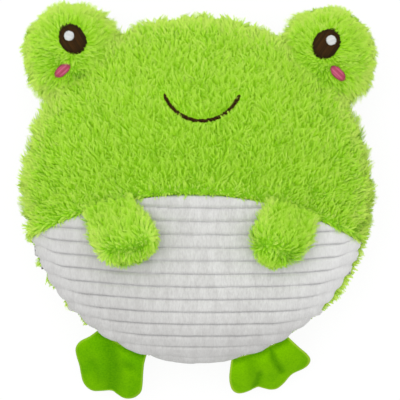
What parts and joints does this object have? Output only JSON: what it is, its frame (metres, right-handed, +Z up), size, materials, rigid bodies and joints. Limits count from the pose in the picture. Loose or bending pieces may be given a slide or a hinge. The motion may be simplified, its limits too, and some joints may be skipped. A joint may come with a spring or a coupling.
{
  "type": "plush frog",
  "caption": "Round stuffed frog cushion lying on its back, with furry body, ribbed belly, eye lobes, and soft arms and webbed feet that flop.",
  "frame": {"origin": "on the table under the middle of the round body, at the middle of its flattened back", "axes": "+Z up, out of the belly; +Y to the top of the head; +X to the frog's own left side"},
  "size_m": [0.2328, 0.2599, 0.1014],
  "materials": {
    "lime_fur": "long fluffy pile",
    "white_ribbed_plush": "short pile in wide wales",
    "green_velour": "short brushed pile",
    "fibrefill": "loose fibre",
    "brown_thread": "satin stitch",
    "white_thread": "satin stitch",
    "pink_thread": "satin stitch"
  },
  "bodies": {
    "body": {"face_panel": "lime_fur", "belly_panel": "white_ribbed_plush", "back_panel": "lime_fur", "body_filling": "fibrefill", "smile": "brown_thread", "eye_lobe_front_left": "lime_fur", "eye_lobe_back_left": "lime_fur", "eye_lobe_filling_left": "fibrefill", "eye_left": "brown_thread", "eye_glint_left": "white_thread", "cheek_left": "pink_thread", "eye_lobe_front_right": "lime_fur", "eye_lobe_back_right": "lime_fur", "eye_lobe_filling_right": "fibrefill", "eye_right": "brown_thread", "eye_glint_right": "white_thread", "cheek_right": "pink_thread"},
    "arm_left": {"arm_cover_left": "lime_fur", "arm_filling_left": "fibrefill"},
    "arm_right": {"arm_cover_right": "lime_fur", "arm_filling_right": "fibrefill"},
    "foot_left": {"foot_upper_left": "green_velour", "foot_sole_left": "green_velour", "foot_wadding_left": "fibrefill"},
    "foot_right": {"foot_upper_right": "green_velour", "foot_sole_right": "green_velour", "foot_wadding_right": "fibrefill"}
  },
  "joints": [
    {"name": "arm_left_lift", "type": "hinge", "parent": "body", "child": "arm_left", "pos_m": [0.06204, -0.01186, 0.07411], "axis": [-0.9248, 0.2916, 0.2442], "range_deg": [0, 80]},
    {"name": "arm_right_lift", "type": "hinge", "parent": "body", "child": "arm_right", "pos_m": [-0.05676, -0.01031, 0.07542], "axis": [-0.9057, -0.3659, -0.214], "range_deg": [0, 80]},
    {"name": "foot_left_flop", "type": "hinge", "parent": "body", "child": "foot_left", "pos_m": [0.04706, -0.1057, 0.037], "axis": [-0.9135, -0.4067, 0], "range_deg": [-8, 115]},
    {"name": "foot_right_flop", "type": "hinge", "parent": "body", "child": "foot_right", "pos_m": [-0.04706, -0.1057, 0.037], "axis": [-0.9135, 0.4067, 0], "range_deg": [-17, 106]}
  ]
}
